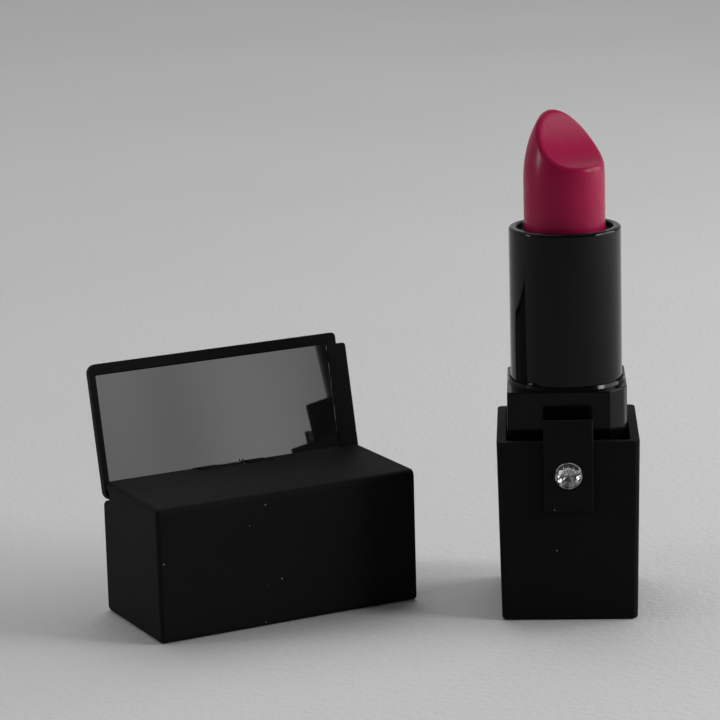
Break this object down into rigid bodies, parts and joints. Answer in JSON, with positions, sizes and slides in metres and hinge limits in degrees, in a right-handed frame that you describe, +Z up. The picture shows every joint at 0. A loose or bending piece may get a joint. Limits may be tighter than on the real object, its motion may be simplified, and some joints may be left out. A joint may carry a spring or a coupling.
{
  "type": "lipstick case",
  "caption": "Square twist-up lipstick case, bullet raised, with its lift-off cap lying open beside it and a hinged mirror door on the cap.",
  "frame": {"origin": "centre of the base casing's flat underside, on the surface that the case stands on", "axes": "+Z up along the lipstick, the front strip and its stone face -Y, the cap lies on the -X side"},
  "size_m": [0.0826, 0.0427, 0.0746],
  "materials": {
    "soft_matte_black": "soft-touch matte",
    "gloss_black": "polished",
    "mechanism_plastic": "as moulded",
    "brake_rubber": "matte",
    "weight_steel": "zinc plated",
    "hinge_steel": "dark oxide",
    "raspberry_wax": "satin wax",
    "clear_stone": "faceted",
    "silver_foil": "polished",
    "mirror_silver": "silvered glass",
    "foam_tape": "double-sided foam"
  },
  "bodies": {
    "base": {"base_casing": "soft_matte_black", "base_weight": "weight_steel", "mechanism_seat": "mechanism_plastic", "collar_block": "gloss_black", "front_strip": "soft_matte_black", "rhinestone": "clear_stone", "stone_setting": "silver_foil", "guide_tube": "mechanism_plastic", "retaining_ring": "mechanism_plastic", "brake_ring": "brake_rubber"},
    "tube": {"outer_tube": "gloss_black", "spiral_sleeve": "mechanism_plastic"},
    "carrier": {"bullet_cup": "mechanism_plastic", "lipstick_bullet": "raspberry_wax"},
    "cap": {"cap_shell": "soft_matte_black", "hinge_pin": "hinge_steel", "hinge_spring": "hinge_steel"},
    "door": {"door_frame": "soft_matte_black", "mirror_glass": "mirror_silver", "mirror_tape": "foam_tape"}
  },
  "joints": [
    {"name": "tube_twist", "type": "hinge", "parent": "base", "child": "tube", "pos_m": [0, 0.0013, 0.0573], "axis": [0, 0, 1], "range_deg": [-450, 0]},
    {"name": "bullet_rise", "type": "slide", "parent": "base", "child": "carrier", "axis": [0, 0, 1], "range_m": [-0.02, 0]},
    {"name": "cap_lift", "type": "slide", "parent": "base", "child": "cap", "axis": [0, 0, 1], "range_m": [0, 0.08]},
    {"name": "mirror_hinge", "type": "hinge", "parent": "cap", "child": "door", "pos_m": [-0.05085, 0.00457, 0.01985], "axis": [0.8625, 0.506, 0], "range_deg": [0, 103], "stiffness_Nm_per_rad": 0.0004, "springref_deg": -17.19, "deforming": ["hinge_spring"]}
  ],
  "couplings": [
    {"joint": "bullet_rise", "follows": "tube_twist", "m_per_rad": 0.0025464}
  ]
}
